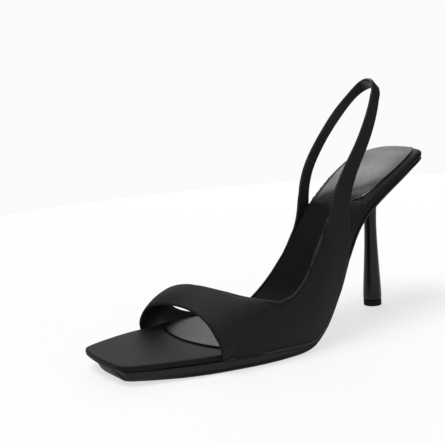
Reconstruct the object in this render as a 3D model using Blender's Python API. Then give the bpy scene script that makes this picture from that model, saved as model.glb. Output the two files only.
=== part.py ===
"""Left slingback sandal with an open square toe and a slim stiletto heel.

Frame: origin at the centre of the heel tip on the floor, +X to the toe,
+Y to the outer side of the foot, +Z up. Sizes are in millimetres.
"""
import math

import bpy
import numpy as np

# Overall sizes
LENGTH = 222.8
SEAT_OVERHANG = 36.8
BALL_WIDTH = 77.0
HEEL_RISE = 77.5
TOE_SPRING = 2.4

# Layers of the sole
OUTSOLE = 6.2
BOARD = 3.6
EDGE_ROUND = 1.3
CREST_ROUND = 0.8
SEAM_ROUND = 0.4
OUTSOLE_OUTSET = 0.6
OUTSOLE_SETBACK = 3.5
UNDERCUT = 0.35
GAP = 0.3
SIDE_GAP = 0.4

# Leather on the insole
SOCK = 0.9
SOCK_INSET = 1.6
HEEL_PAD = 1.0
PAD_INSET = 5.0
PAD_CROWN = 0.2
PAD_CORNER = 10.0
SEAM_GAP = 0.5
SOCK_BOW = 10.0

# Upper
WALL = 1.4
STRAP_WALL = 1.6
VAMP_HEIGHT = 38.0
SLING_HEIGHT = 139.0
RIM_RISE = 0.8

# Heel
TIP_RADIUS = 5.5
HEEL_LEAN = 1.2
LIFT = 3.6
CUP_LENGTH = 31.0
CUP_WIDTH = 23.0
HEEL_SIDES = 28

# Mesh fineness. Rows across the sole: shares of LENGTH where the spacing
# changes, and the parts between them
SOLE_COLUMNS = 5
ROW_SPANS = [(0.030, 0.295, 14), (0.295, 0.610, 20), (0.610, 0.965, 11)]
ROW_MARGIN = 1.5
END_STEPS = [0.0, 0.5, 1.8, 4.0]
FLAT_FROM = 0.590
UPPER_ROWS = 7
STATION_STEPS = 3

# Stations of the heel pad's seam and of the sock's front edge, the
# lateral and the medial end, as shares of LENGTH
SEAM = (0.288, 0.310)
SOCK_FRONT = (0.733, 0.756)

# Plan outline of the board, from the middle of the seat's back round the
# lateral side. x: share of LENGTH from the seat's back end, y: share of
# BALL_WIDTH from the heel's axis, draw: how far the outsole lies inside the
# board here, as a share of OUTSOLE_SETBACK.
OUTLINE = [
    ("seat_back_middle", 0.000, -0.005, 0.3),
    ("seat_back_lateral", 0.003, 0.095, 0.3),
    ("seat_corner_lateral", 0.022, 0.190, 0.3),
    ("seat_side_lateral", 0.059, 0.280, 0.2),
    ("seat_wide_lateral", 0.113, 0.342, 0.2),
    ("heel_lateral", 0.187, 0.368, 0.1),
    ("shank_lateral", 0.305, 0.360, 0.0),
    ("waist_lateral", 0.369, 0.400, 0.0),
    ("arch_lateral", 0.432, 0.466, 0.0),
    ("ball_back_lateral", 0.542, 0.525, 0.0),
    ("ball_lateral", 0.668, 0.516, 0.0),
    ("toes_lateral", 0.821, 0.395, 0.0),
    ("little_toe", 0.910, 0.298, 0.1),
    ("toe_corner_lateral", 0.985, 0.195, 0.6),
    ("toe_edge_lateral", 0.997, 0.065, 1.0),
    ("toe_edge_middle", 1.000, -0.104, 1.0),
    ("toe_edge_medial", 0.997, -0.253, 1.6),
    ("toe_corner_medial", 0.985, -0.367, 2.5),
    ("big_toe", 0.919, -0.440, 1.3),
    ("toes_medial", 0.821, -0.488, 0.0),
    ("ball_medial", 0.668, -0.453, 0.0),
    ("ball_back_medial", 0.542, -0.326, 0.0),
    ("arch_medial", 0.432, -0.214, 0.0),
    ("waist_medial", 0.369, -0.214, 0.0),
    ("shank_medial", 0.305, -0.248, 0.0),
    ("heel_medial", 0.187, -0.328, 0.1),
    ("seat_wide_medial", 0.113, -0.348, 0.2),
    ("seat_side_medial", 0.059, -0.298, 0.2),
    ("seat_corner_medial", 0.022, -0.210, 0.3),
    ("seat_back_medial", 0.003, -0.110, 0.3),
]

# Underside and layers along the sole. x: share of LENGTH, rise: share of
# HEEL_RISE, spring: share of TOE_SPRING, sheet and board: upright thickness
# as shares of OUTSOLE and BOARD, more where the sole slopes.
PROFILE = [
    (0.000, 1.113, 0.00, 0.387, 1.340),
    (0.039, 1.132, 0.00, 0.387, 1.264),
    (0.088, 1.108, 0.00, 0.387, 1.214),
    (0.165, 1.016, 0.00, 0.395, 1.247),
    (0.236, 0.901, 0.00, 0.420, 1.471),
    (0.305, 0.753, 0.00, 0.452, 1.911),
    (0.369, 0.535, 0.00, 0.516, 2.280),
    (0.432, 0.295, 0.00, 0.548, 2.290),
    (0.491, 0.100, 0.00, 0.552, 2.140),
    (0.542, 0.012, 0.00, 0.580, 1.740),
    (0.580, 0.000, 0.00, 0.710, 1.430),
    (0.650, 0.000, 0.00, 0.900, 1.110),
    (0.720, 0.000, 0.00, 0.960, 1.030),
    (0.786, 0.000, 0.00, 1.000, 1.000),
    (0.845, 0.000, 0.15, 0.984, 0.990),
    (0.924, 0.000, 0.55, 0.920, 0.960),
    (1.000, 0.000, 1.00, 0.860, 0.870),
]

# The upper, station by station round the collar. Top and low are the ends
# of one row of the band. Kind vamp or sling: x share of LENGTH, y share of
# BALL_WIDTH, z share of VAMP_HEIGHT (vamp) or of SLING_HEIGHT (sling).
# Kind lateral or medial: x share, then millimetres out from the board's
# side and up from the board's top. bulge and wall are in millimetres.
UPPER = [
    ("vamp", (0.733, -0.065, 1.000), (0.799, -0.065, 0.775), 0.6, WALL),
    ("vamp", (0.711, 0.130, 0.968), (0.798, 0.130, 0.790), 0.8, WALL),
    ("vamp", (0.681, 0.296, 0.900), (0.798, 0.290, 0.740), 1.0, WALL),
    ("vamp", (0.655, 0.409, 0.858), (0.797, 0.400, 0.615), 1.4, WALL),
    ("vamp", (0.637, 0.465, 0.843), (0.792, 0.483, 0.373), 1.8, WALL),
    ("lateral", (0.621, -4.2, 21.7), (0.780, 0.0, 0.0), 2.4, WALL),
    ("lateral", (0.602, -3.9, 22.4), (0.737, 0.0, 0.0), 2.6, WALL),
    ("lateral", (0.582, -3.7, 24.0), (0.688, 0.0, 0.0), 2.6, WALL),
    ("lateral", (0.560, -3.8, 27.0), (0.634, 0.0, 0.0), 2.4, WALL),
    ("lateral", (0.541, -3.9, 30.2), (0.578, 0.0, 0.0), 2.2, WALL),
    ("lateral", (0.521, -4.0, 32.8), (0.526, 0.0, 0.0), 2.0, WALL),
    ("lateral", (0.503, -4.4, 34.8), (0.477, 0.0, 0.0), 1.8, WALL),
    ("lateral", (0.484, -4.9, 35.8), (0.432, 0.0, 0.0), 1.4, WALL),
    ("lateral", (0.467, -5.3, 35.6), (0.387, 0.0, 0.0), 1.0, WALL),
    ("sling", (0.453, 0.434, 0.468), (0.387, 0.475, 0.392), 0.7, WALL),
    ("sling", (0.438, 0.427, 0.500), (0.389, 0.484, 0.466), 0.5, WALL),
    ("sling", (0.411, 0.400, 0.584), (0.374, 0.458, 0.554), 0.2, STRAP_WALL),
    ("sling", (0.363, 0.363, 0.669), (0.333, 0.410, 0.645), 0.0, STRAP_WALL),
    ("sling", (0.307, 0.333, 0.767), (0.282, 0.376, 0.743), 0.0, STRAP_WALL),
    ("sling", (0.257, 0.285, 0.860), (0.236, 0.328, 0.837), 0.0, STRAP_WALL),
    ("sling", (0.220, 0.240, 0.941), (0.201, 0.272, 0.917), 0.0, STRAP_WALL),
    ("sling", (0.192, 0.177, 0.992), (0.175, 0.207, 0.950), 0.0, STRAP_WALL),
    ("sling", (0.170, 0.074, 1.005), (0.146, 0.088, 0.966), 0.0, STRAP_WALL),
    ("sling", (0.167, -0.043, 0.993), (0.142, -0.033, 0.958), 0.0, STRAP_WALL),
    ("sling", (0.180, -0.148, 0.940), (0.154, -0.139, 0.921), 0.0, STRAP_WALL),
    ("sling", (0.204, -0.243, 0.869), (0.178, -0.240, 0.843), 0.0, STRAP_WALL),
    ("sling", (0.235, -0.307, 0.783), (0.208, -0.307, 0.759), 0.0, STRAP_WALL),
    ("sling", (0.265, -0.342, 0.704), (0.237, -0.342, 0.678), 0.0, STRAP_WALL),
    ("sling", (0.290, -0.350, 0.636), (0.261, -0.350, 0.609), 0.0, STRAP_WALL),
    ("sling", (0.313, -0.333, 0.565), (0.281, -0.333, 0.537), 0.0, STRAP_WALL),
    ("medial", (0.330, 3.0, 5.9), (0.291, 1.8, 0.0), 0.2, WALL),
    ("medial", (0.346, 1.6, 3.0), (0.315, 0.6, 0.0), 0.0, WALL),
    ("medial", (0.368, 0.4, RIM_RISE), (0.344, 0.0, 0.0), 0.0, WALL),
    ("medial", (0.413, 0.0, RIM_RISE), (0.399, 0.0, 0.0), 0.0, WALL),
    ("medial", (0.467, 0.0, RIM_RISE), (0.458, 0.0, 0.0), 0.0, WALL),
    ("medial", (0.526, 0.0, RIM_RISE), (0.523, 0.0, 0.0), 0.0, WALL),
    ("medial", (0.585, 0.0, RIM_RISE), (0.590, 0.0, 0.0), 0.0, WALL),
    ("medial", (0.634, 0.4, 1.8), (0.651, 0.0, 0.0), 0.2, WALL),
    ("medial", (0.673, 1.2, 3.6), (0.704, 0.0, 0.0), 0.6, WALL),
    ("medial", (0.701, 1.9, 6.6), (0.755, 0.0, 0.0), 0.8, WALL),
    ("medial", (0.722, 2.2, 11.2), (0.808, 0.0, 0.0), 1.0, WALL),
    ("vamp", (0.737, -0.474, 0.693), (0.812, -0.504, 0.373), 1.2, WALL),
    ("vamp", (0.745, -0.391, 0.830), (0.811, -0.385, 0.625), 1.0, WALL),
    ("vamp", (0.742, -0.240, 0.945), (0.805, -0.240, 0.722), 0.8, WALL),
]

# Heel stem. height: share of the way up to the seat, radius: share of
# TIP_RADIUS, cup: how far the ring has become the cup (0 to 1).
HEEL = [
    (0.000, 1.00, 0.00),
    (0.100, 0.95, 0.00),
    (0.250, 0.83, 0.00),
    (0.450, 0.68, 0.00),
    (0.620, 0.61, 0.00),
    (0.760, 0.64, 0.00),
    (0.850, 0.76, 0.05),
    (0.910, 0.95, 0.16),
    (0.950, 1.10, 0.36),
    (0.980, 1.20, 0.66),
    (0.990, 1.20, 1.00),
    (1.000, 1.20, 1.00),
]


def clear_scene():
    """Remove what the start-up file holds."""
    for item in list(bpy.data.objects):
        bpy.data.objects.remove(item, do_unlink=True)


def monotone(xs, ys, at):
    """Smooth interpolation that never overshoots its table."""
    xs, ys = np.asarray(xs, float), np.asarray(ys, float)
    at = np.clip(np.asarray(at, float), xs[0], xs[-1])
    step = np.diff(xs)
    slope = np.diff(ys) / step
    tangent = np.zeros(len(xs))
    tangent[0], tangent[-1] = slope[0], slope[-1]
    for i in range(1, len(xs) - 1):
        if slope[i - 1] * slope[i] > 0.0:
            tangent[i] = 2.0 * slope[i - 1] * slope[i] / (slope[i - 1] + slope[i])
    k = np.clip(np.searchsorted(xs, at, side="right") - 1, 0, len(xs) - 2)
    t = (at - xs[k]) / step[k]
    h00 = 2 * t**3 - 3 * t**2 + 1
    h10 = t**3 - 2 * t**2 + t
    h01 = -2 * t**3 + 3 * t**2
    h11 = t**3 - t**2
    return (h00 * ys[k] + h10 * step[k] * tangent[k]
            + h01 * ys[k + 1] + h11 * step[k] * tangent[k + 1])


def catmull(points, steps, closed):
    """Catmull-Rom curve through the points, with steps parts per span."""
    points = np.asarray(points, float)
    count = len(points)
    if closed:
        padded = np.vstack([points[-1], points, points[0], points[1]])
        spans = count
    else:
        first = 2 * points[0] - points[1]
        last = 2 * points[-1] - points[-2]
        padded = np.vstack([first, points, last])
        spans = count - 1
    curve = []
    for i in range(spans):
        p0, p1, p2, p3 = padded[i:i + 4]
        for j in range(steps):
            t = j / steps
            curve.append(0.5 * (2 * p1 + (p2 - p0) * t
                                + (2 * p0 - 5 * p1 + 4 * p2 - p3) * t**2
                                + (3 * p1 - p0 - 3 * p2 + p3) * t**3))
    if not closed:
        curve.append(points[-1])
    return np.array(curve)


def station(share):
    """x of a station given as a share of the length."""
    return np.asarray(share) * LENGTH - SEAT_OVERHANG


def profile(x):
    """Underside, board underside and board top of the sole at x."""
    table = np.array(PROFILE)
    share = (np.asarray(x, float) + SEAT_OVERHANG) / LENGTH
    rise = monotone(table[:, 0], table[:, 1], share)
    spring = monotone(table[:, 0], table[:, 2], share)
    low = rise * HEEL_RISE + spring * TOE_SPRING
    middle = low + OUTSOLE * monotone(table[:, 0], table[:, 3], share)
    top = middle + BOARD * monotone(table[:, 0], table[:, 4], share)
    return low, middle, top


def outline_halves():
    """Lateral and medial half of the outline, both from seat to toe.

    The third number of a point is its share of OUTSOLE_SETBACK.
    """
    steps = 8
    points = [(float(station(x)), y * BALL_WIDTH, draw) for name, x, y, draw in OUTLINE]
    curve = catmull(points, steps, True)
    names = [row[0] for row in OUTLINE]
    tip = names.index("toe_edge_middle") * steps
    return curve[:tip + 1], np.vstack([curve[tip:], curve[:1]])[::-1]


def row_stations():
    """x of the rows that every layer of the sole shares."""
    rows = []
    for start, end, parts in ROW_SPANS:
        rows += list(station(np.linspace(start, end, parts + 1)[:-1]))
    rows.append(float(station(ROW_SPANS[-1][1])))
    return rows


LATERAL, MEDIAL = outline_halves()
ROW_STATIONS = row_stations()


def side_point(side, x, out):
    """Point at x on a side of the outline, moved outwards in plan."""
    line = LATERAL if side == "lateral" else MEDIAL
    sign = 1.0 if side == "lateral" else -1.0
    y = np.interp(x, line[:, 0], line[:, 1])
    ahead = np.interp(x + 1.0, line[:, 0], line[:, 1])
    behind = np.interp(x - 1.0, line[:, 0], line[:, 1])
    slope = (ahead - behind) / 2.0
    size = math.hypot(slope, 1.0)
    return x - sign * slope / size * out, y + sign / size * out


def half_at(side, inset, xs, setback):
    """Points at xs on one half of the outline, moved in by the inset and
    by each point's share of the setback."""
    line, sign = (LATERAL, 1.0) if side == "lateral" else (MEDIAL, -1.0)
    along = np.gradient(line[:, :2], axis=0)
    inward = np.stack([along[:, 1], -along[:, 0]], axis=1) * sign
    inward = inward / np.linalg.norm(inward, axis=1)[:, None]
    moved = line[:, :2] + inward * (inset + setback * line[:, 2:])
    ys = np.interp(xs, np.maximum.accumulate(moved[:, 0]), moved[:, 1])
    return np.stack([xs, ys], axis=1)


def layer_ends(front, back, inset, setback):
    """x of the seat end and of the toe end of a layer, lateral and medial.

    front and back are None for the outline's own end, or the x at the
    lateral edge, the x at the medial edge, the bow of a cross cut and the
    inset at which it lies there; front has the radius of its lateral corner
    too.
    """
    seat = [LATERAL[0, 0] + inset + setback * LATERAL[0, 2]] * 2
    toe = [LATERAL[-1, 0] - inset - setback * LATERAL[-1, 2]] * 2
    if back:
        seat = [x + inset - back[3] for x in back[:2]]
    if front:
        toe = [x - inset + front[3] for x in front[:2]]
    return seat, toe


def rows_of(front, back, inset, setback):
    """The shared rows that lie inside a layer."""
    seat, toe = layer_ends(front, back, inset, setback)
    first = max(seat) + (ROW_MARGIN if back else END_STEPS[-1] + ROW_MARGIN)
    last = min(toe) - (ROW_MARGIN if front else END_STEPS[-1] + ROW_MARGIN)
    return [x for x in ROW_STATIONS if first < x < last]


def plan_edges(front, back, inset, rows, setback):
    """Lateral and medial edge of a layer, row by row."""
    seat, toe = layer_ends(front, back, inset, setback)
    edges = []
    for k, side in enumerate(("lateral", "medial")):
        start = [seat[k], (seat[k] + rows[0]) / 2]
        if not back:
            start = [seat[k] + step for step in END_STEPS]
        end = [(rows[-1] + toe[k]) / 2, toe[k]]
        if not front:
            end = [toe[k] - step for step in END_STEPS[::-1]]
        edges.append(half_at(side, inset, np.array(start + rows + end), setback))
    return edges


def round_corner(grid, radius):
    """Bends the square corner at the end of the lateral edge to a round one."""
    corner = grid[-1, 0].copy()
    across = grid[-1, -1] - corner
    along = grid[-4, 0] - corner
    axes = np.stack([across / np.linalg.norm(across), along / np.linalg.norm(along)], axis=1)
    for point in grid.reshape(-1, 2):
        reach = radius - np.linalg.solve(axes, point - corner)
        if reach.min() > 0.0:
            reach *= reach.max() / np.linalg.norm(reach)
            point[:] = corner + axes @ (radius - reach)


def fill_plan(front, back, inset, rows, setback):
    """Grid of plan points; rows keep to one x where the sole is curved."""
    lateral, medial = plan_edges(front, back, inset, rows, setback)
    u = np.linspace(0.0, 1.0, SOLE_COLUMNS + 1)
    grid = (lateral[:, None, :] * (1 - u)[None, :, None]
            + medial[:, None, :] * u[None, :, None])
    if front:
        middle = (lateral[:, 0] + medial[:, 0]) / 2
        flat_from = float(station(FLAT_FROM))
        ahead = np.clip((middle - flat_from) / (middle[-1] - flat_from), 0.0, 1.0)
        grid[:, :, 0] += ahead[:, None] * (front[2] * 4.0 * u * (1.0 - u))[None, :]
        round_corner(grid, front[4])
    return grid


def grid_ring(rows, columns):
    """Indices of the grid's border, in the order of the boundary loop."""
    ring = [(i, 0) for i in range(rows)]
    ring += [(rows, j) for j in range(columns)]
    ring += [(i, columns) for i in range(rows, 0, -1)]
    ring += [(0, j) for j in range(columns, 0, -1)]
    return ring


def plate(front, back, inset, low, high, rounding, crest, crown=0.0, setback=0.0):
    """Closed layer of the sole: two grids joined by a rounded edge.

    rounding and crest are those of its lower and its upper edge.
    """
    verts, faces = [], []
    columns = SOLE_COLUMNS
    shared = rows_of(front, back, inset + max(rounding, crest), setback)
    high_back = setback * (1.0 - UNDERCUT)

    def add_grid(edge_inset, height, lift, draw):
        grid = fill_plan(front, back, edge_inset, shared, draw)
        start, rows = len(verts), len(grid) - 1
        for i in range(rows + 1):
            for j in range(columns + 1):
                x, y = grid[i, j]
                u, v = 2 * j / columns - 1, 2 * i / rows - 1
                dome = lift * (1 - u * u) * (1 - v**4)
                verts.append((x, y, float(height(x)) + dome))
        ring = grid_ring(rows, columns)
        return start, rows, [start + i * (columns + 1) + j for i, j in ring]

    def add_loop(edge_inset, height, draw):
        grid = fill_plan(front, back, edge_inset, shared, draw)
        start = len(verts)
        for i, j in grid_ring(len(grid) - 1, columns):
            x, y = grid[i, j]
            verts.append((x, y, float(height(x))))
        return list(range(start, len(verts)))

    bottom, rows, first = add_grid(inset + rounding, low, 0.0, setback)
    loops = [first]
    loops.append(add_loop(inset, lambda x: low(x) + rounding, setback))
    loops.append(add_loop(inset, lambda x: high(x) - crest, high_back))
    loops.append(add_loop(inset + 0.3 * crest, lambda x: high(x) - 0.3 * crest, high_back))
    top, rows, last = add_grid(inset + crest, high, crown, high_back)
    loops.append(last)
    across = columns + 1
    for i in range(rows):
        for j in range(columns):
            here = i * across + j
            cell = (here, here + across, here + across + 1, here + 1)
            faces.append(tuple(bottom + k for k in cell))
            faces.append(tuple(top + k for k in reversed(cell)))
    for lower, upper in zip(loops, loops[1:]):
        for k in range(len(lower)):
            n = (k + 1) % len(lower)
            faces.append((lower[k], upper[k], upper[n], lower[n]))
    return verts, faces


def upper_point(kind, spec, is_top):
    """Place of one end of a row of the upper."""
    if kind in ("vamp", "sling"):
        height = VAMP_HEIGHT if kind == "vamp" else SLING_HEIGHT
        return np.array([station(spec[0]), spec[1] * BALL_WIDTH, spec[2] * height])
    x, y = side_point(kind, float(station(spec[0])), SIDE_GAP + WALL + spec[1])
    low, middle, top = profile(x)
    base = top if is_top else middle + GAP
    return np.array([x, y, float(base) + spec[2]])


def upper_ends():
    """Collar edge, outer edge, bulge and wall at every station."""
    count = len(UPPER)
    tops = np.array([upper_point(row[0], row[1], True) for row in UPPER])
    collar = catmull(tops, STATION_STEPS, True)
    numbers = np.array([[row[3], row[4]] for row in UPPER])
    numbers = catmull(numbers, STATION_STEPS, True)
    outer = np.zeros_like(collar)
    kinds = [row[0] for row in UPPER]
    for i in range(count):
        n = (i + 1) % count
        a, b = UPPER[i], UPPER[n]
        for j in range(STATION_STEPS):
            t = j / STATION_STEPS
            k = i * STATION_STEPS + j
            if kinds[i] == kinds[n] and kinds[i] in ("lateral", "medial"):
                spec = [a[2][c] + (b[2][c] - a[2][c]) * t for c in range(3)]
                outer[k] = upper_point(kinds[i], spec, False)
            else:
                outer[k] = free_span(i, t)
    return collar, outer, numbers[:, 0], numbers[:, 1]


def free_span(i, t):
    """Outer edge between two stations that hang free of the sole."""
    count = len(UPPER)
    picks = []
    for offset in (-1, 0, 1, 2):
        row = UPPER[(i + offset) % count]
        picks.append(upper_point(row[0], row[2], False))
    here, there = UPPER[i][0], UPPER[(i + 1) % count][0]
    if here in ("lateral", "medial"):
        picks[0] = 2 * picks[1] - picks[2]
    if there in ("lateral", "medial"):
        picks[3] = 2 * picks[2] - picks[1]
    p0, p1, p2, p3 = picks
    return 0.5 * (2 * p1 + (p2 - p0) * t + (2 * p0 - 5 * p1 + 4 * p2 - p3) * t**2
                  + (3 * p1 - p0 - 3 * p2 + p3) * t**3)


def grid_normals(grid):
    """Outward unit normals of a band whose stations form a ring."""
    along = np.roll(grid, -1, axis=0) - np.roll(grid, 1, axis=0)
    across = np.gradient(grid, axis=1)
    normal = np.cross(across, along)
    size = np.linalg.norm(normal, axis=2)[:, :, None]
    return normal / np.maximum(size, 1e-9)


def clear_of_board(point, least):
    """Move a point out in plan where it would come near the board's side."""
    x, y, z = point
    if z > float(profile(x)[2]) + GAP or x > float(station(0.97)):
        return point
    side = "lateral" if y > 0.0 else "medial"
    edge_x, edge_y = side_point(side, x, least)
    if abs(y) < abs(edge_y):
        return np.array([x, edge_y, z])
    return point


def upper_shell():
    """The hollow upper: vamp, quarters and sling as one band with a wall."""
    collar, outer, bulge, wall = upper_ends()
    count = len(collar)
    v = np.linspace(0.0, 1.0, UPPER_ROWS + 1)
    skin = collar[:, None, :] + (outer - collar)[:, None, :] * v[None, :, None]
    normal = grid_normals(skin)
    skin = skin + normal * (bulge[:, None] * np.sin(math.pi * v)[None, :])[:, :, None]
    normal = grid_normals(skin)
    lining = skin - normal * wall[:, None, None]
    verts, faces = [], []
    for i in range(count):
        for j in range(UPPER_ROWS + 1):
            verts.append(clear_of_board(skin[i, j], SIDE_GAP + WALL))
        for j in range(UPPER_ROWS, -1, -1):
            verts.append(clear_of_board(lining[i, j], SIDE_GAP))
    loop = 2 * (UPPER_ROWS + 1)
    for i in range(count):
        n = (i + 1) % count
        for k in range(loop):
            m = (k + 1) % loop
            faces.append((i * loop + k, i * loop + m, n * loop + m, n * loop + k))
    return verts, faces


def heel_stem():
    """Turned stem that spreads into a cup under the seat."""
    verts, faces = [], []
    base = LIFT + GAP
    seat = float(profile(0.0)[0]) - GAP
    for height, radius, cup in HEEL:
        level = base + (seat - base) * height
        for k in range(HEEL_SIDES):
            turn = 2 * math.pi * k / HEEL_SIDES
            r = radius * TIP_RADIUS
            x = (r + (CUP_LENGTH / 2 - r) * cup) * math.cos(turn) - HEEL_LEAN * height
            y = (r + (CUP_WIDTH / 2 - r) * cup) * math.sin(turn)
            under = float(profile(x)[0]) - GAP
            lip = (seat - level) * 1.6
            z = level + (under - lip - level) * cup
            verts.append((x, y, z))
    for ring in range(len(HEEL) - 1):
        for k in range(HEEL_SIDES):
            n = (k + 1) % HEEL_SIDES
            a, b = ring * HEEL_SIDES, (ring + 1) * HEEL_SIDES
            faces.append((a + k, a + n, b + n, b + k))
    faces.append(tuple(range(HEEL_SIDES - 1, -1, -1)))
    cap_columns(verts, faces, (len(HEEL) - 1) * HEEL_SIDES)
    return verts, faces


def cap_columns(verts, faces, start):
    """Close the cup's top with strips across, which follow the seat."""
    half = HEEL_SIDES // 2
    for k in range(half):
        a, b = start + k, start + k + 1
        c = start + (HEEL_SIDES - k - 1) % HEEL_SIDES
        d = start + (HEEL_SIDES - k) % HEEL_SIDES
        corners = []
        for vertex in (a, b, c, d):
            if vertex not in corners:
                corners.append(vertex)
        if len(corners) > 2:
            faces.append(tuple(corners))


def top_lift():
    """The small wearing block under the stem."""
    bpy.ops.mesh.primitive_cylinder_add(
        vertices=HEEL_SIDES, radius=TIP_RADIUS / 1000.0, depth=LIFT / 1000.0,
        location=(0.0, 0.0, LIFT / 2000.0))
    return bpy.context.object


def make_object(name, shape, collection):
    """Turn millimetre vertices and faces into a closed mesh object."""
    verts, faces = shape
    mesh = bpy.data.meshes.new(name)
    scaled = [tuple(float(c) / 1000.0 for c in vert) for vert in verts]
    mesh.from_pydata(scaled, [], faces)
    mesh.validate()
    item = bpy.data.objects.new(name, mesh)
    collection.objects.link(item)
    return item


def paint(item, colour, roughness, metallic=0.0):
    """Give the object its own material."""
    material = bpy.data.materials.new(item.name)
    material.use_nodes = True
    shader = material.node_tree.nodes["Principled BSDF"]
    shader.inputs["Base Color"].default_value = (*colour, 1.0)
    shader.inputs["Roughness"].default_value = roughness
    shader.inputs["Metallic"].default_value = metallic
    item.data.materials.clear()
    item.data.materials.append(material)


def sole_layers(collection):
    """Outsole, wrapped board and the two leather pieces on it."""
    def low(x):
        return profile(x)[0]

    def outsole_top(x):
        return profile(x)[1]

    def board_low(x):
        return profile(x)[1] + GAP

    def board_top(x):
        return profile(x)[2]

    def sock_low(x):
        return profile(x)[2] + GAP

    def sock_top(x):
        return profile(x)[2] + GAP + SOCK

    def pad_top(x):
        return profile(x)[2] + GAP + HEEL_PAD

    outsole = plate(None, None, -OUTSOLE_OUTSET, low, outsole_top, EDGE_ROUND, SEAM_ROUND,
                    setback=OUTSOLE_SETBACK)
    paint(make_object("outsole", outsole, collection), (0.03, 0.03, 0.03), 0.5)
    board = plate(None, None, 0.0, board_low, board_top, SEAM_ROUND, CREST_ROUND)
    paint(make_object("insole_board", board, collection), (0.04, 0.04, 0.042), 0.7)
    seam = station(np.array(SEAM))
    front = station(np.array(SOCK_FRONT))
    sock_front = (float(front[0]), float(front[1]), SOCK_BOW, SOCK_INSET, 0.0)
    sock_back = (float(seam[0]) + SEAM_GAP, float(seam[1]) + SEAM_GAP, 0.0, SOCK_INSET)
    sock = plate(sock_front, sock_back, SOCK_INSET, sock_low, sock_top, SOCK / 3, SOCK / 3)
    paint(make_object("sock", sock, collection), (0.10, 0.10, 0.10), 0.35)
    pad_front = (float(seam[0]), float(seam[1]), 0.0, PAD_INSET, PAD_CORNER)
    pad = plate(pad_front, None, PAD_INSET, sock_low, pad_top, HEEL_PAD / 3, HEEL_PAD / 3,
                crown=PAD_CROWN)
    paint(make_object("heel_pad", pad, collection), (0.12, 0.12, 0.12), 0.3)


def main():
    clear_scene()
    collection = bpy.data.collections.new("slingback_sandal")
    bpy.context.scene.collection.children.link(collection)
    sole_layers(collection)
    upper = make_object("upper", upper_shell(), collection)
    paint(upper, (0.03, 0.03, 0.032), 0.75)
    heel = make_object("heel", heel_stem(), collection)
    paint(heel, (0.02, 0.02, 0.02), 0.15)
    lift = top_lift()
    lift.name = "top_lift"
    for owner in list(lift.users_collection):
        owner.objects.unlink(lift)
    collection.objects.link(lift)
    paint(lift, (0.03, 0.03, 0.03), 0.6)


if __name__ == "__main__":
    main()
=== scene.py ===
"""A black slingback sandal with an open square toe and a slim stiletto heel, dressed over its frame."""
from contextlib import contextmanager
from math import pi, radians

import bpy
from bpy.props import FloatProperty, FloatVectorProperty, PointerProperty
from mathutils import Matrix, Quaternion, Vector
from mathutils.bvhtree import BVHTree
from mathutils.kdtree import KDTree


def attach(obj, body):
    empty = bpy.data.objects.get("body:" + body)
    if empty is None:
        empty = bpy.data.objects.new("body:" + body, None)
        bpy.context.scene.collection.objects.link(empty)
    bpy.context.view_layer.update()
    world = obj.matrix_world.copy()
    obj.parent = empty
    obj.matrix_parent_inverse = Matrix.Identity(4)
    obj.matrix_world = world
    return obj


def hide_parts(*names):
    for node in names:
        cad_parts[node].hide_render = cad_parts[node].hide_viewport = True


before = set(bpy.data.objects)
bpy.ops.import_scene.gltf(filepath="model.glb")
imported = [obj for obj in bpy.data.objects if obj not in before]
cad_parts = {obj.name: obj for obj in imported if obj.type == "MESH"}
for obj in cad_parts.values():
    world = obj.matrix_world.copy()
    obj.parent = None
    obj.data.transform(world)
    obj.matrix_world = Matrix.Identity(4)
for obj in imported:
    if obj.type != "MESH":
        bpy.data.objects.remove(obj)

bl_info = {
    "name": "Slingback Sandal",
    "version": (1, 0, 0),
    "blender": (4, 5, 0),
    "location": "View3D > Sidebar > Sandal",
    "description": "Builds the cloth, leather and lacquer pieces of a slingback sandal over its frame",
    "category": "Object",
}

BODY = "root"
MM = 0.001
MERGE = 0.02 * MM           # corners of the frame's loose triangles closer than this are one
FLAT_ENOUGH = radians(40)   # two triangles that meet flatter than this make one quad
QUAD_SKEW = radians(60)
CREASE = radians(50)        # an edge sharper than this stays sharp in the shading

GRAIN_DEPTH = 0.05 * MM

# Places on the materials, in metres: where the seat's leather gains its shine,
# and the height and front end of the line of painted shade low round the outsole
SHINE_FROM_BACK = (-0.024, 0.012)
SHINE_FROM_INSIDE = (-0.018, 0.006)
SHADE_LINE_LOW = (0.6 * MM, 1.5 * MM)
SHADE_LINE_HIGH = (2.6 * MM, 3.6 * MM)
SHADE_LINE_FRONT_X = (0.150, 0.175)

# The wall of light behind the shoe: the way to it, how close to that way it starts,
# and the rise of its foot and of its top
WALL_X, WALL_Y = -0.52, -0.85
WALL_SIDE = (0.84, 0.96)
WALL_FOOT = (0.10, 0.36)
WALL_TOP = (0.74, 0.95)


def size(name, default, words):
    """A length in metres that the panel shows."""
    return FloatProperty(name=name, default=default, description=words, subtype="DISTANCE",
                         unit="LENGTH", precision=5)


def colour(name, default, words):
    """A colour that the panel shows."""
    return FloatVectorProperty(name=name, default=default, description=words, subtype="COLOR",
                               size=3, min=0.0, max=1.0)


def amount(name, default, words):
    """A lamp's or a surface's strength that the panel shows."""
    return FloatProperty(name=name, default=default, description=words, min=0.0)


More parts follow.
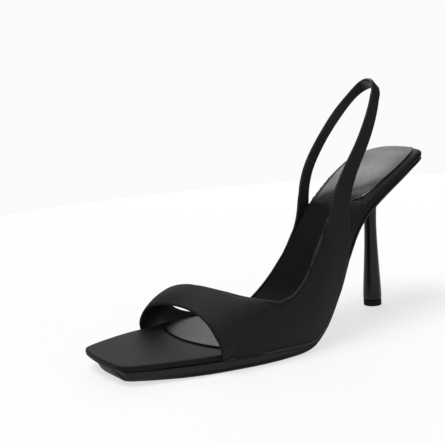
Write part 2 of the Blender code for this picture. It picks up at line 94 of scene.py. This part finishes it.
class SandalSizes(bpy.types.PropertyGroup):
    """Sizes of the finish that the frame leaves to the scene."""

    fold_round: size("Fold rounding", 0.00062, "Radius of the folded edge of the upper")
    hem_line: size("Hem line", 0.0012, "From the folded edge to the line pressed along it")
    hem_width: size("Hem width", 0.0014, "Width of that line")
    thickest_wall: size("Thickest wall", 0.0026, "A face with less than this behind it is on the wall")
    thread: size("Thread", 0.00042, "Distance between two threads of the cloth")
    grain: size("Grain", 0.0011, "Width of one cell of the leather grain")
    pad_dip: size("Pad dip", 0.0006, "How far the heel pad's border rolls down")
    pad_roll: size("Pad roll", 0.009, "Width of the rolled border of the heel pad")
    lacquer_coat: size("Lacquer coat", 0.0003, "Thickness of the lacquer round the heel")
    sock_sink: size("Sock sink", 0.00025, "How far the sock is pressed onto the board")
    rim_dip: size("Rim dip", 0.0014, "How far the board's rim rolls down round the seat")
    rim_roll: size("Rim roll", 0.0035, "Width of that rolled rim")
    glue: size("Glue line", 0.00055, "Distance by which a layer sinks to the one below")


class SandalColours(bpy.types.PropertyGroup):
    """Colours of the finishes."""

    cloth: colour("Cloth", (0.0085, 0.0085, 0.0089), "Matte satin of the upper and the board")
    lining: colour("Lining", (0.005, 0.005, 0.0053), "Leather inside the upper")
    leather: colour("Leather", (0.006, 0.006, 0.0062), "Leather of the sock and heel pad")
    edge: colour("Edge", (0.004, 0.004, 0.0045), "Painted cut edges")
    sole: colour("Sole", (0.0150, 0.0150, 0.0157), "Outsole")
    lift: colour("Top lift", (0.007, 0.007, 0.0074), "Top lift")
    lacquer: colour("Lacquer", (0.004, 0.004, 0.0045), "Heel")


class StudioSetup(bpy.types.PropertyGroup):
    """Camera, lamps and floor."""

    lens: FloatProperty(name="Lens", default=68.25, description="Focal length in millimetres", unit="CAMERA")
    aim: FloatVectorProperty(name="Aim", default=(0.0690, -0.0585, 0.0567), subtype="TRANSLATION",
                             unit="LENGTH", description="Point that the camera looks at")
    distance: size("Distance", 0.5273, "From the camera to that point")
    azimuth: FloatProperty(name="Azimuth", default=radians(56.08), subtype="ANGLE",
                           description="Turn of the camera's place round the shoe, from +X")
    elevation: FloatProperty(name="Elevation", default=radians(10.08), subtype="ANGLE",
                             description="Height of the camera over the horizon")
    roll: FloatProperty(name="Roll", default=radians(-4.16), subtype="ANGLE",
                        description="Turn of the camera about its own axis")
    floor_colour: colour("Floor", (0.30, 0.30, 0.30), "Pale floor, apart from its glow")
    floor_glow: amount("Floor glow", 0.665, "Light that the floor gives off, like a lit table")
    backdrop: amount("Backdrop", 0.96, "Brightness of the backdrop")
    floor_radius: size("Floor radius", 0.60, "Radius of the round floor")
    key: amount("Key", 2.30, "Strength of the key lamp")
    fill: amount("Fill", 1.0, "Strength of the lamp beside the camera")
    band: amount("Band", 1.5, "Brightness of the wall behind the shoe")
    room: amount("Room", 0.09, "Brightness of the room round the shoe")


class Value:
    """A shader's number socket that takes part in Python expressions."""

    def __init__(self, paint, socket):
        self.paint = paint
        self.socket = socket

    def _math(self, operation, first, second=None):
        inputs = {0: first}
        if second is not None:
            inputs[1] = second
        node = self.paint.node("ShaderNodeMath", {"operation": operation}, inputs)
        return Value(self.paint, node.outputs[0])

    def __add__(self, other):
        return self._math("ADD", self, other)

    def __radd__(self, other):
        return self._math("ADD", other, self)

    def __sub__(self, other):
        return self._math("SUBTRACT", self, other)

    def __rsub__(self, other):
        return self._math("SUBTRACT", other, self)

    def __mul__(self, other):
        return self._math("MULTIPLY", self, other)

    def __rmul__(self, other):
        return self._math("MULTIPLY", other, self)

    def __truediv__(self, other):
        return self._math("DIVIDE", self, other)

    def __pow__(self, other):
        return self._math("POWER", self, other)

    def sine(self):
        return self._math("SINE", self)

    def absolute(self):
        return self._math("ABSOLUTE", self)

    def step(self, low, high):
        """0 below low, 1 above high and smooth between."""
        node = self.paint.node("ShaderNodeMapRange", {"interpolation_type": "SMOOTHSTEP"},
                               {"Value": self, "From Min": low, "From Max": high})
        return Value(self.paint, node.outputs[0])


class Paint:
    """A material's or the world's node tree, filled by expressions."""

    def __init__(self, owner):
        owner.use_nodes = True
        self.tree = owner.node_tree
        self.tree.nodes.clear()

    def node(self, kind, settings, inputs):
        """Adds a node, sets what it is, then gives its sockets their values or links."""
        node = self.tree.nodes.new(kind)
        for key, setting in settings.items():
            setattr(node, key, setting)
        for key, given in inputs.items():
            source = given.socket if isinstance(given, Value) else given
            if isinstance(source, bpy.types.NodeSocket):
                self.tree.links.new(source, node.inputs[key])
            else:
                node.inputs[key].default_value = source
        return node

    def value(self, node):
        return Value(self, node.outputs[0])

    def place(self):
        """Object coordinates in metres, as a vector socket."""
        return self.node("ShaderNodeTexCoord", {}, {}).outputs["Object"]

    def along(self, vector):
        """The three numbers of a vector."""
        node = self.node("ShaderNodeSeparateXYZ", {}, {"Vector": vector})
        return [Value(self, out) for out in node.outputs]

    def vector(self, x, y, z):
        return self.node("ShaderNodeCombineXYZ", {}, {"X": x, "Y": y, "Z": z}).outputs[0]

    def noise(self, vector, scale, detail=3.0, roughness=0.5):
        node = self.node("ShaderNodeTexNoise", {"noise_dimensions": "3D"},
                         {"Vector": vector, "Scale": scale, "Detail": detail, "Roughness": roughness})
        return self.value(node)

    def cells(self, vector, scale, feature="DISTANCE_TO_EDGE"):
        node = self.node("ShaderNodeTexVoronoi", {"feature": feature}, {"Vector": vector, "Scale": scale})
        return self.value(node)

    def attribute(self, name):
        node = self.node("ShaderNodeAttribute", {"attribute_name": name}, {})
        return Value(self, node.outputs["Fac"])

    def blend(self, share, first, second):
        """A colour between two, by a share from 0 to 1."""
        node = self.node("ShaderNodeMix", {"data_type": "RGBA"},
                         {"Factor": share, 6: whole(first), 7: whole(second)})
        return node.outputs[2]

    def bump(self, height, distance, strength=1.0, under=None):
        inputs = {"Strength": strength, "Distance": distance, "Height": height}
        if under is not None:
            inputs["Normal"] = under
        return self.node("ShaderNodeBump", {}, inputs).outputs[0]

    def shade(self, **sockets):
        """The one shader and its output. A socket's name has _ for each blank."""
        inputs = {key.replace("_", " "): given for key, given in sockets.items()}
        shader = self.node("ShaderNodeBsdfPrincipled", {}, inputs)
        self.node("ShaderNodeOutputMaterial", {}, {"Surface": shader.outputs[0]})


def whole(tone):
    """A colour with its alpha, or a socket as it is."""
    if isinstance(tone, bpy.types.NodeSocket):
        return tone
    return (tone[0], tone[1], tone[2], 1.0)


def lighter(tone, factor):
    return tuple(min(1.0, part * factor) for part in tone)


def new_paint(name):
    material = bpy.data.materials.new(name)
    return material, Paint(material)


def threads(paint, across, along, pitch):
    """Height of a fine satin weave from two lengths over the cloth, from 0 to 1."""
    turn = 2 * pi / pitch
    warp = (across * turn).sine() * 0.5 + 0.5
    weft = (along * (turn * 0.5) + across * (turn * 0.5)).sine() * 0.5 + 0.5
    return warp * 0.65 + weft * 0.35


def cloth_material(name, sizes, tone, mapped, hem=0.0):
    """Matte satin: a fine slanted weave, a soft sheen and faint uneven dye.

    mapped says that it has a UV map. hem is the depth of the line pressed along the folded edge,
    which is found by the attribute "from_fold". That line is also painted darker, as painted shade in its
    groove.
    """
    material, paint = new_paint(name)
    place = paint.place()
    if mapped:
        across, along, _ = paint.along(paint.node("ShaderNodeUVMap", {"uv_map": "cloth"}, {}).outputs[0])
    else:
        x, y, z = paint.along(place)
        across, along = x + z * 0.7, y + z * 0.5
    weave = threads(paint, across, along, sizes.thread)
    slub = paint.noise(paint.vector(across * 900, along * 60, 0.0), 1.0, detail=2.0)
    cloud = paint.noise(place, 38.0, detail=4.0, roughness=0.6)
    dye = paint.blend((cloud * 0.55 + weave * 0.3 + slub * 0.15).step(0.25, 0.75),
                      lighter(tone, 0.82), lighter(tone, 1.22))
    soft = paint.bump(cloud, 0.0005, strength=0.25)
    if hem:
        # The pressed line: the bump sinks it, and its dye is painted darker as painted shade in the groove.
        away = (paint.attribute("from_fold") - sizes.hem_line) * (2 / sizes.hem_width)
        groove_shade = 1 - away.absolute().step(0.0, 1.0)
        dye = paint.blend(groove_shade * 0.8, dye, lighter(tone, 0.2))
        soft = paint.bump(1 - groove_shade, hem, strength=0.8, under=soft)
    fine = paint.bump(weave * 0.8 + slub * 0.2, 0.00009, strength=0.55, under=soft)
    paint.shade(Base_Color=dye, Roughness=0.50 + cloud * 0.10 + weave * 0.06, Normal=fine,
                Specular_IOR_Level=0.12, Sheen_Weight=0.03, Sheen_Roughness=0.35)
    return material


def leather_material(name, sizes, tone, gloss, shine=0.5, rubbed=0.0):
    """Fine-grained leather: small cells, pores, and a finish that shines where it is smooth.

    rubbed is how much duller the finish is at the back of the seat; it loses shine to the inside too.
    """
    material, paint = new_paint(name)
    place = paint.place()
    cells = paint.cells(place, 1.0 / sizes.grain)
    folds = cells.step(0.0, 0.22)
    pores = paint.noise(place, 2.3 / sizes.grain, detail=2.0)
    cloud = paint.noise(place, 45.0, detail=5.0, roughness=0.62)
    height = folds * 0.7 + pores * 0.3
    dye = paint.blend((folds * 0.5 + cloud * 0.5).step(0.2, 0.85), lighter(tone, 0.7), lighter(tone, 1.2))
    soft = paint.bump(cloud, 0.0006, strength=0.2)
    fine = paint.bump(height, GRAIN_DEPTH, strength=0.6, under=soft)
    x, y, _ = paint.along(place)
    kept = x.step(*SHINE_FROM_BACK) * (y.step(*SHINE_FROM_INSIDE) * 0.7 + 0.3)
    dull = (1 - kept) * rubbed
    paint.shade(Base_Color=dye, Roughness=gloss + dull + cloud * 0.14 - folds * 0.05, Normal=fine,
                Specular_IOR_Level=shine, Coat_Weight=kept * (0.65 * shine), Coat_Roughness=0.15)
    return material


def edge_material(name, tone):
    """Painted cut edge: dark, thick paint with a slight waviness."""
    material, paint = new_paint(name)
    place = paint.place()
    waves = paint.noise(place, 420.0, detail=3.0)
    dye = paint.blend(waves, lighter(tone, 0.7), lighter(tone, 1.6))
    paint.shade(Base_Color=dye, Roughness=0.42 + waves * 0.2, Normal=paint.bump(waves, 0.00012, strength=0.5))
    return material


def sole_material(name, tone):
    """Outsole: satin sides with a line of painted shade low along them, a finely stippled underside, and
    scuffs at the floor.

    It reads how far each point is above the underside from the attribute "under".
    """
    material, paint = new_paint(name)
    place = paint.place()
    x, y, z = paint.along(place)
    stipple = paint.cells(place, 1300.0, feature="F1")
    cloud = paint.noise(place, 60.0, detail=5.0, roughness=0.65)
    scratches = paint.noise(paint.vector(x * 60, y * 900, z * 200), 1.0, detail=2.0)
    worn = (1 - z.step(0.0001, 0.0011)) * cloud.step(0.45, 0.7) * scratches.step(0.42, 0.62)
    above = paint.attribute("under") + cloud * 0.0002
    # A band low on the sides, behind the toe, is painted nearly black: painted shade where the floor is near.
    dark = above.step(*SHADE_LINE_LOW) * (1 - above.step(*SHADE_LINE_HIGH)) * (1 - x.step(*SHADE_LINE_FRONT_X))
    dye = paint.blend(dark * 0.95, paint.blend(cloud, lighter(tone, 0.85), lighter(tone, 1.15)),
                      lighter(tone, 0.1))
    dye = paint.blend(worn * 0.7, dye, lighter(tone, 1.5))
    soft = paint.bump(cloud, 0.0004, strength=0.2)
    fine = paint.bump(stipple, 0.00008, strength=0.4, under=soft)
    paint.shade(Base_Color=dye, Roughness=0.45 + cloud * 0.12 + worn * 0.25, Normal=fine,
                Specular_IOR_Level=0.12)
    return material


def lacquer_material(name, tone):
    """Glossy lacquer over a moulded stem, with faint long waves and a few dull specks."""
    material, paint = new_paint(name)
    place = paint.place()
    x, y, z = paint.along(place)
    waves = paint.noise(paint.vector(x * 220, y * 220, z * 40), 1.0, detail=2.0)
    specks = paint.noise(place, 900.0, detail=2.0).step(0.66, 0.78)
    dye = paint.blend(waves, lighter(tone, 0.85), lighter(tone, 1.25))
    paint.shade(Base_Color=dye, Roughness=0.24 + waves * 0.08 + specks * 0.15,
                Normal=paint.bump(waves, 0.00018, strength=0.35), Specular_IOR_Level=0.20,
                Coat_Weight=0.06, Coat_Roughness=0.08)
    return material


def lift_material(name, tone):
    """Top lift: dull hard rubber, rubbed grey along its lower rim."""
    material, paint = new_paint(name)
    place = paint.place()
    _, _, z = paint.along(place)
    grit = paint.noise(place, 1500.0, detail=3.0)
    rubbed = (1 - z.step(0.0002, 0.0012)) * grit.step(0.4, 0.6)
    dye = paint.blend(rubbed * 0.8, tone, lighter(tone, 2.0))
    paint.shade(Base_Color=dye, Roughness=0.5 + grit * 0.2, Normal=paint.bump(grit, 0.0001, strength=0.4),
                Specular_IOR_Level=0.08)
    return material


def only(*objects):
    """Selects these objects alone, with the first one active."""
    bpy.ops.object.select_all(action="DESELECT")
    for obj in objects:
        obj.select_set(True)
    bpy.context.view_layer.objects.active = objects[0]


@contextmanager
def editing(piece, mode):
    """Edit mode on one piece, with what its mesh has selected."""
    only(piece)
    bpy.ops.object.mode_set(mode="EDIT")
    bpy.ops.mesh.select_mode(type=mode)
    yield
    bpy.ops.object.mode_set(mode="OBJECT")


def pick_edges(piece, wanted):
    """Selects the edges whose numbers are wanted, and nothing else."""
    mesh = piece.data
    for part in (mesh.vertices, mesh.edges, mesh.polygons):
        part.foreach_set("select", [False] * len(part))
    for index in wanted:
        mesh.edges[index].select = True


def copy_of(node, name):
    """A merged copy of a CAD node, with quads where two of its triangles lie flat enough."""
    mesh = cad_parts[node].data.copy()
    mesh.name = name
    mesh.materials.clear()
    piece = bpy.data.objects.new(name, mesh)
    bpy.context.scene.collection.objects.link(piece)
    with editing(piece, "FACE"):
        bpy.ops.mesh.select_all(action="SELECT")
        bpy.ops.mesh.remove_doubles(threshold=MERGE)
        bpy.ops.mesh.customdata_custom_splitnormals_clear()
        bpy.ops.mesh.tris_convert_to_quads(face_threshold=FLAT_ENOUGH, shape_threshold=QUAD_SKEW)
        bpy.ops.mesh.select_all(action="DESELECT")
    return piece


def applied(piece, kind, **settings):
    """Adds a modifier, sets it and applies it."""
    only(piece)
    bpy.ops.object.modifier_add(type=kind)
    modifier = piece.modifiers[-1]
    for key, setting in settings.items():
        setattr(modifier, key, setting)
    bpy.ops.object.modifier_apply(modifier=modifier.name)


def smooth(piece, levels):
    """Subdivides a piece into its smooth form and shades it so."""
    if levels:
        applied(piece, "SUBSURF", levels=levels, render_levels=levels)
    only(piece)
    bpy.ops.object.shade_smooth_by_angle(angle=CREASE)


def settle(piece, depth):
    """Lowers a piece's underside onto what it is glued to, so that no light passes between."""
    for vertex in piece.data.vertices:
        if vertex.normal.z < -0.3:
            vertex.co += vertex.normal * depth


def tree_of(spots):
    """A tree that finds the nearest of these places."""
    tree = KDTree(len(spots))
    for index, spot in enumerate(spots):
        tree.insert(spot, index)
    tree.balance()
    return tree


def roll_down(piece, dip, width, front_x):
    """Lowers the border of a layer's top in a soft curve, behind front_x."""
    mesh = piece.data
    plan = [Vector((vertex.co.x, vertex.co.y, 0.0)) for vertex in mesh.vertices]
    near = tree_of([plan[v.index] for v in mesh.vertices if abs(v.normal.z) < 0.5])
    for vertex in mesh.vertices:
        outward = max(0.0, 1 - near.find(plan[vertex.index])[2] / width)
        behind = min(1.0, max(0.0, (front_x - vertex.co.x) / (0.5 * front_x)))
        facing_up = min(1.0, max(0.0, vertex.normal.z / 0.4))
        vertex.co.z -= dip * outward ** 2 * behind * facing_up
    mesh.update()


def part_top(piece, rise):
    """Gives the faces that look up more than rise the first material, and the others the second."""
    for face in piece.data.polygons:
        face.material_index = 0 if face.normal.z > rise else 1


def mark(piece, name, values):
    """Gives each corner point of a piece a number that its materials read."""
    piece.data.attributes.new(name, "FLOAT", "POINT").data.foreach_set("value", values)


def finish_piece(piece, slot, *nodes, materials=()):
    """Gives a piece its materials and its body, and hides the nodes it replaces. slot is not used."""
    for material in materials:
        piece.data.materials.append(material)
    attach(piece, BODY)
    if nodes:
        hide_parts(*nodes)
    return piece


# The four materials of the upper, the folded edge's lighter as a painted highlight and the vamp's front
# edge's darker as painted shade, and places along the shoe where a finish changes
OUTSIDE, LINING, FOLD, FRONT_FOLD_SHADED = range(4)
CORE_X = 0.022        # the strap's loop and the quarters face away from an upright line here
VAMP_X = 0.088        # in front of this the vamp faces away from a line along the foot
VAMP_CORE_Z = 0.012
SEAT_FRONT_X = 0.050  # the board's rim is rolled behind this
BACK_EDGE_Z = 0.024   # above this the edge that looks back and down is plain cloth, without the painted highlight
STRAP_Z = 0.062       # the strap above this has no pressed line
VAMP_FRONT_X = 0.100  # a folded edge in front of this that looks forward is the vamp's front edge, painted darker as shade


def side_of(tree, face, thickest):
    """Whether a face of the upper is its outside, its lining or its folded edge."""
    start = face.center - face.normal * (0.01 * MM)
    _, _, _, depth = tree.ray_cast(start, -face.normal)
    if depth is None or depth > thickest:
        return FOLD
    if face.center.x > VAMP_X:
        away = Vector((0.0, face.center.y, face.center.z - VAMP_CORE_Z))
    else:
        away = Vector((face.center.x - CORE_X, face.center.y, 0.0))
    return OUTSIDE if face.normal.dot(away) > 0 else LINING


def edges_between(mesh, sides):
    """Numbers of the edges whose two faces are on different sides."""
    seen = {}
    for face in mesh.polygons:
        for key in face.edge_keys:
            seen.setdefault(key, set()).add(sides[face.index])
    return [edge.index for edge in mesh.edges if len(seen.get(edge.key, ())) > 1]


class SANDAL_OT_upper(bpy.types.Operator):
    """Makes the upper: cloth outside, leather inside, and a rounded folded edge all round"""

    bl_idname = "sandal.upper"
    bl_label = "Upper"

    def execute(self, context):
        sizes = context.scene.sandal_sizes
        colours = context.scene.sandal_colours
        piece = copy_of("upper", "upper_cloth")
        mesh = piece.data
        tree = BVHTree.FromPolygons([v.co for v in mesh.vertices], [f.vertices for f in mesh.polygons])
        sides = [side_of(tree, face, sizes.thickest_wall) for face in mesh.polygons]
        mesh.polygons.foreach_set("material_index", sides)
        # The folded edge's satin is painted lighter as a highlight, the vamp's front edge's satin darker as
        # painted shade.
        for kind in (cloth_material("satin", sizes, colours.cloth, mapped=True, hem=0.0004),
                     leather_material("lining_leather", sizes, lighter(colours.lining, 2.0), 0.40, shine=0.3),
                     cloth_material("folded_satin_painted_highlight", sizes, lighter(colours.cloth, 2.4), mapped=True),
                     cloth_material("front_satin_painted_shade", sizes, lighter(colours.cloth, 0.4), mapped=True)):
            mesh.materials.append(kind)
        mesh.uv_layers.new(name="cloth")
        for corner, loop in enumerate(mesh.loops):
            spot = mesh.vertices[loop.vertex_index].co
            mesh.uv_layers["cloth"].data[corner].uv = (spot.x + spot.z * 0.6, spot.y + spot.z * 0.5)
        pick_edges(piece, edges_between(mesh, sides))
        with editing(piece, "EDGE"):
            bpy.ops.mesh.bevel(offset=sizes.fold_round, segments=2, affect="EDGES", material=FOLD)
        # The folded edge keeps its painted highlight, except where it looks forward at the vamp's front
        # (painted shade) and where it looks back and down above BACK_EDGE_Z (plain cloth).
        for face in mesh.polygons:
            if face.material_index != FOLD:
                continue
            if face.center.x > VAMP_FRONT_X and face.normal.x > 0.2:
                face.material_index = FRONT_FOLD_SHADED
            elif face.center.z > BACK_EDGE_Z and face.normal.x + face.normal.z < 0:
                face.material_index = OUTSIDE
        smooth(piece, 2)
        folded = {v for face in mesh.polygons if face.material_index == FOLD for v in face.vertices}
        near = tree_of([mesh.vertices[index].co for index in folded])
        mark(piece, "from_fold", [near.find(vertex.co)[2] + max(0.0, vertex.co.z - STRAP_Z)
                                  for vertex in mesh.vertices])
        finish_piece(piece, "upper", "upper")
        return {"FINISHED"}


class SANDAL_OT_board(bpy.types.Operator):
    """Makes the insole board, wrapped in cloth"""

    bl_idname = "sandal.board"
    bl_label = "Insole board"

    def execute(self, context):
        sizes = context.scene.sandal_sizes
        colours = context.scene.sandal_colours
        piece = copy_of("insole_board", "board_wrap")
        settle(piece, sizes.glue)
        smooth(piece, 2)
        roll_down(piece, sizes.rim_dip, sizes.rim_roll, SEAT_FRONT_X)
        # Faces that look up take the top satin; the sides take the same satin painted darker, as painted
        # shade.
        part_top(piece, 0.6)
        top = cloth_material("board_satin", sizes, lighter(colours.cloth, 0.8), mapped=False)
        side = cloth_material("side_satin_painted_shade", sizes, lighter(colours.cloth, 0.5), mapped=False)
        finish_piece(piece, "insole_board", "insole_board", materials=(top, side))
        return {"FINISHED"}


class SANDAL_OT_sock(bpy.types.Operator):
    """Makes the leather sock with its dark cut edge"""

    bl_idname = "sandal.sock"
    bl_label = "Sock"

    def execute(self, context):
        sizes = context.scene.sandal_sizes
        colours = context.scene.sandal_colours
        piece = copy_of("sock", "sock_leather")
        for vertex in piece.data.vertices:
            vertex.co.z -= sizes.sock_sink
        settle(piece, sizes.glue)
        smooth(piece, 2)
        part_top(piece, 0.2)
        finish_piece(piece, "sock", "sock",
                     materials=(leather_material("sock_leather", sizes, colours.leather, 0.32, shine=0.09),
                                edge_material("sock_edge", colours.edge)))
        return {"FINISHED"}


class SANDAL_OT_heel_pad(bpy.types.Operator):
    """Makes the padded heel sock with its rolled border"""

    bl_idname = "sandal.heel_pad"
    bl_label = "Heel pad"

    def execute(self, context):
        sizes = context.scene.sandal_sizes
        colours = context.scene.sandal_colours
        piece = copy_of("heel_pad", "heel_pad_leather")
        settle(piece, sizes.glue)
        smooth(piece, 2)
        roll_down(piece, sizes.pad_dip, sizes.pad_roll, 1.0)
        part_top(piece, -0.1)
        finish_piece(piece, "heel_pad", "heel_pad",
                     materials=(leather_material("pad_leather", sizes, colours.leather, 0.16, shine=0.55,
                                                rubbed=0.32),
                                edge_material("pad_edge", colours.edge)))
        return {"FINISHED"}


class SANDAL_OT_outsole(bpy.types.Operator):
    """Makes the outsole with its satin edge, painted shade line and stippled underside"""

    bl_idname = "sandal.outsole"
    bl_label = "Outsole"

    def execute(self, context):
        colours = context.scene.sandal_colours
        piece = copy_of("outsole", "outsole_sheet")
        applied(piece, "SUBSURF", subdivision_type="SIMPLE", levels=2, render_levels=2)
        smooth(piece, 1)
        mesh = piece.data
        near = tree_of([v.co for v in mesh.vertices if v.normal.z < -0.9])
        mark(piece, "under", [near.find(vertex.co)[2] for vertex in mesh.vertices])
        finish_piece(piece, "outsole", "outsole", materials=(sole_material("sole_rubber", colours.sole),))
        return {"FINISHED"}


class SANDAL_OT_heel(bpy.types.Operator):
    """Makes the lacquered stiletto and its top lift"""

    bl_idname = "sandal.heel"
    bl_label = "Heel"

    def execute(self, context):
        sizes = context.scene.sandal_sizes
        colours = context.scene.sandal_colours
        stem = copy_of("heel", "stiletto")
        smooth(stem, 1)
        for vertex in stem.data.vertices:
            vertex.co += Vector((vertex.normal.x, vertex.normal.y, 0.0)) * sizes.lacquer_coat
        finish_piece(stem, "heel", "heel", materials=(lacquer_material("heel_lacquer", colours.lacquer),))
        lift = copy_of("top_lift", "wearing_lift")
        smooth(lift, 0)
        finish_piece(lift, "top_lift", "top_lift", materials=(lift_material("lift_rubber", colours.lift),))
        return {"FINISHED"}


class SANDAL_OT_stage(bpy.types.Operator):
    """Makes the camera, the pale floor, the lamps and the backdrop"""

    bl_idname = "sandal.stage"
    bl_label = "Stage"

    def execute(self, context):
        setup = context.scene.sandal_studio
        self.camera(context, setup)
        bpy.ops.object.select_all(action="DESELECT")
        bpy.ops.mesh.primitive_circle_add(vertices=96, radius=setup.floor_radius, fill_type="NGON")
        floor = context.active_object
        floor.name = "floor"
        material, paint = new_paint("floor_paint")
        speck = paint.noise(paint.place(), 9.0, detail=4.0)
        tone = paint.blend(speck, lighter(setup.floor_colour, 0.995), setup.floor_colour)
        paint.shade(Base_Color=tone, Roughness=0.9, Specular_IOR_Level=0.0,
                    Emission_Color=(1.0, 1.0, 1.0, 1.0), Emission_Strength=setup.floor_glow)
        floor.data.materials.append(material)
        self.lamps(context, setup)
        self.world(context, setup)
        context.scene.view_settings.view_transform = "Standard"
        return {"FINISHED"}

    def camera(self, context, setup):
        away = Vector((1.0, 0.0, 0.0))
        away.rotate(Quaternion((0.0, -1.0, 0.0), setup.elevation))
        away.rotate(Quaternion((0.0, 0.0, 1.0), setup.azimuth))
        data = bpy.data.cameras.new("camera")
        data.lens = setup.lens
        data.clip_start = 0.01
        data.clip_end = 50.0
        camera = bpy.data.objects.new("camera", data)
        context.scene.collection.objects.link(camera)
        camera.location = Vector(setup.aim) + away * setup.distance
        camera.rotation_mode = "QUATERNION"
        camera.rotation_quaternion = (away.to_track_quat("Z", "Y")
                                      @ Quaternion((0.0, 0.0, 1.0), setup.roll))
        context.scene.camera = camera

    def lamps(self, context, setup):
        """A wide key from above, a fill beside the camera and two soft boxes for lines of light."""
        suns = (
            ("key", setup.key, radians(40), (radians(6), radians(18), 0.0), 0.10),
            ("fill", setup.fill, radians(60), (radians(-72), 0.0, radians(-30)), 0.0),
        )
        for name, strength, angle, turn, shine in suns:
            data = bpy.data.lights.new(name, "SUN")
            data.energy = strength
            data.angle = angle
            data.specular_factor = shine
            lamp = bpy.data.objects.new(name, data)
            context.scene.collection.objects.link(lamp)
            lamp.rotation_euler = turn
        table = (
            ("box_side", (-0.25, 0.95, 0.30), (0.0, 0.0, 0.05), 0.12, 0.50, 1.3),
            ("box_back", (-0.60, -0.75, 0.50), (0.03, 0.0, 0.08), 0.50, 0.30, 1.0),
        )
        for name, place, aim, width, height, power in table:
            data = bpy.data.lights.new(name, "AREA")
            data.shape = "RECTANGLE"
            data.size = width
            data.size_y = height
            data.energy = power
            lamp = bpy.data.objects.new(name, data)
            context.scene.collection.objects.link(lamp)
            lamp.location = place
            lamp.rotation_mode = "QUATERNION"
            lamp.rotation_quaternion = (Vector(place) - Vector(aim)).to_track_quat("Z", "Y")

    def world(self, context, setup):
        """A pale backdrop that the camera sees; the shoe sees it behind, and a dimmer room round it."""
        world = bpy.data.worlds.new("studio")
        context.scene.world = world
        paint = Paint(world)
        ray = paint.node("ShaderNodeTexCoord", {}, {}).outputs["Generated"]
        x, y, z = paint.along(ray)
        level = (x * x + y * y) ** 0.5 + 0.001
        behind = ((x * WALL_X + y * WALL_Y) / level).step(*WALL_SIDE)
        low = (1 - z.step(*WALL_TOP)) * (z.step(*WALL_FOOT) * 0.90 + 0.10)
        glow = behind * low * (setup.band - setup.room) + setup.room
        seen = Value(paint, paint.node("ShaderNodeLightPath", {}, {}).outputs["Is Camera Ray"])
        strength = glow * (1 - seen) + seen * setup.backdrop
        back = paint.node("ShaderNodeBackground", {}, {"Color": (1.0, 1.0, 1.0, 1.0), "Strength": strength})
        paint.node("ShaderNodeOutputWorld", {}, {"Surface": back.outputs[0]})


class SANDAL_PT_panel(bpy.types.Panel):
    """Lists the pieces, sizes and colours of the sandal"""

    bl_idname = "SANDAL_PT_panel"
    bl_label = "Slingback Sandal"
    bl_space_type = "VIEW_3D"
    bl_region_type = "UI"
    bl_category = "Sandal"

    def draw(self, context):
        for operator in OPERATORS:
            self.layout.operator(operator.bl_idname)
        for group in (context.scene.sandal_sizes, context.scene.sandal_colours, context.scene.sandal_studio):
            column = self.layout.column()
            for key in group.bl_rna.properties.keys():
                if key not in ("rna_type", "name"):
                    column.prop(group, key)


GROUPS = {"sandal_sizes": SandalSizes, "sandal_colours": SandalColours, "sandal_studio": StudioSetup}
OPERATORS = (SANDAL_OT_upper, SANDAL_OT_board, SANDAL_OT_sock, SANDAL_OT_heel_pad,
             SANDAL_OT_outsole, SANDAL_OT_heel, SANDAL_OT_stage)


def register():
    for group in GROUPS.values():
        bpy.utils.register_class(group)
    for name, group in GROUPS.items():
        setattr(bpy.types.Scene, name, PointerProperty(type=group))
    for operator in OPERATORS:
        bpy.utils.register_class(operator)
    bpy.utils.register_class(SANDAL_PT_panel)


def unregister():
    bpy.utils.unregister_class(SANDAL_PT_panel)
    for operator in reversed(OPERATORS):
        bpy.utils.unregister_class(operator)
    for name in GROUPS:
        delattr(bpy.types.Scene, name)
    for group in reversed(GROUPS.values()):
        bpy.utils.unregister_class(group)


def main():
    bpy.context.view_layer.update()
    register()
    bpy.ops.sandal.upper()
    bpy.ops.sandal.board()
    bpy.ops.sandal.sock()
    bpy.ops.sandal.heel_pad()
    bpy.ops.sandal.outsole()
    bpy.ops.sandal.heel()
    bpy.ops.sandal.stage()


if __name__ == "__main__":
    main()
